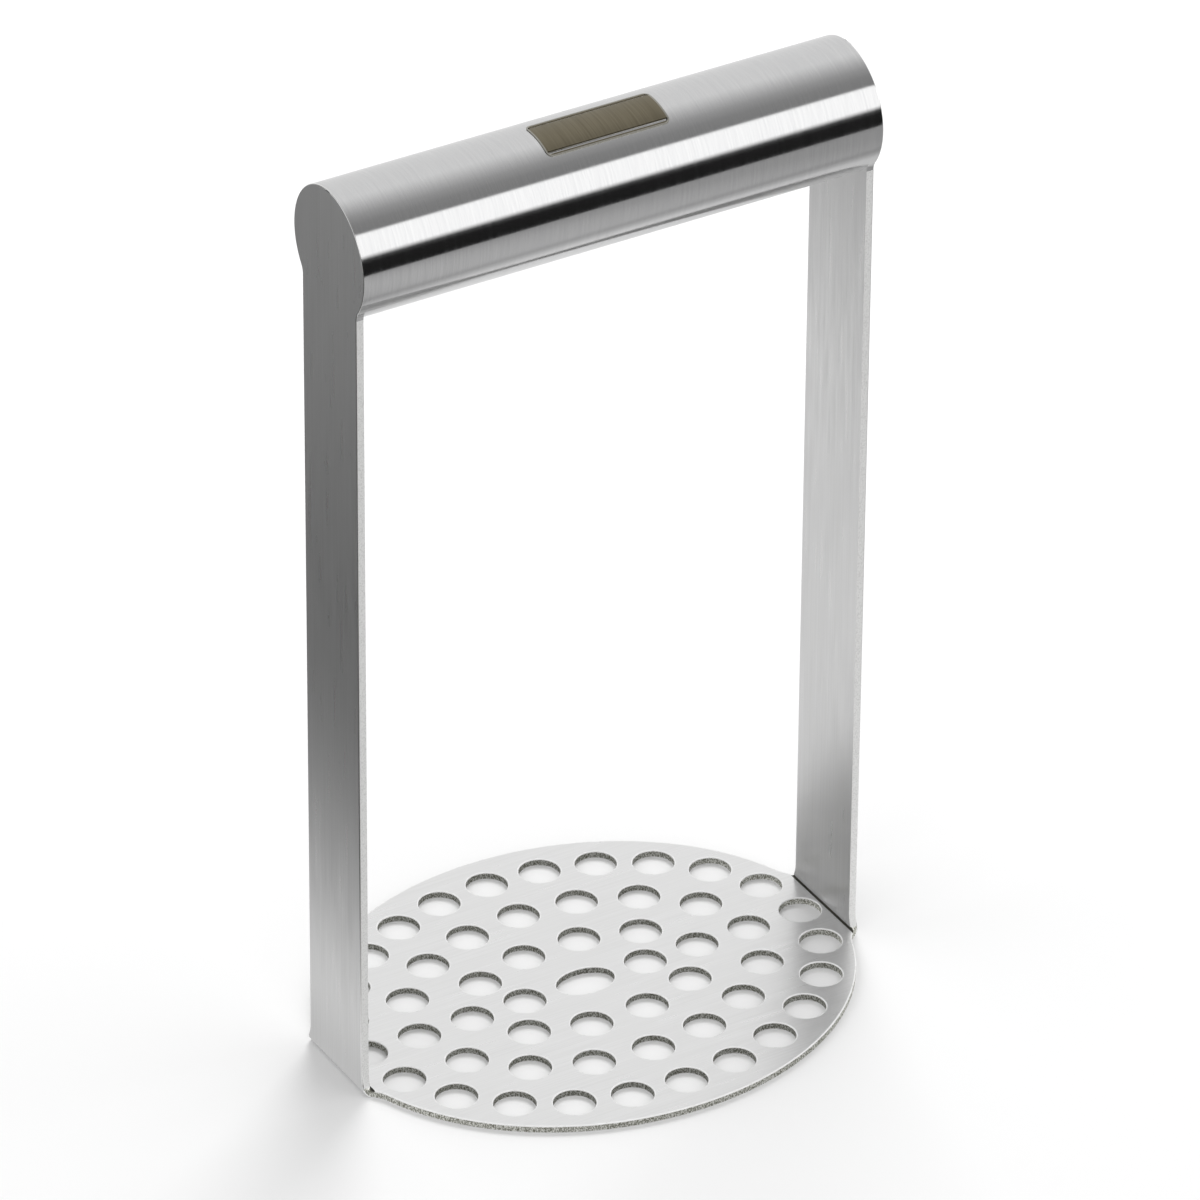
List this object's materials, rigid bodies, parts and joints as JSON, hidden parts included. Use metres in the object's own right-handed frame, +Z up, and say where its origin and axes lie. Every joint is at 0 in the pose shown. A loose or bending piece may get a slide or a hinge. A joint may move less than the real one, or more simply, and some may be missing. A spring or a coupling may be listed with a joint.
{
  "type": "potato masher",
  "caption": "Hand potato masher: a perforated oval steel foot bent up into two uprights that carry a horizontal tubular handle.",
  "frame": {"origin": "centre of the underside of the oval foot, on the surface that it stands on", "axes": "+Z up from the foot to the handle, +X along the handle, +Y across the foot, away from the badge"},
  "size_m": [0.136, 0.114, 0.2392],
  "materials": {
    "sheet_steel": "satin, brushed along the strip, with bare laser-cut edges",
    "tube_steel": "satin, brushed round the tube",
    "weld_steel": "ground flush and brushed",
    "badge_steel": "dark bronze, satin"
  },
  "bodies": {
    "root": {"masher_frame": "sheet_steel", "handle_tube": "tube_steel", "left_weld": "weld_steel", "right_weld": "weld_steel", "badge": "badge_steel"}
  },
  "joints": []
}
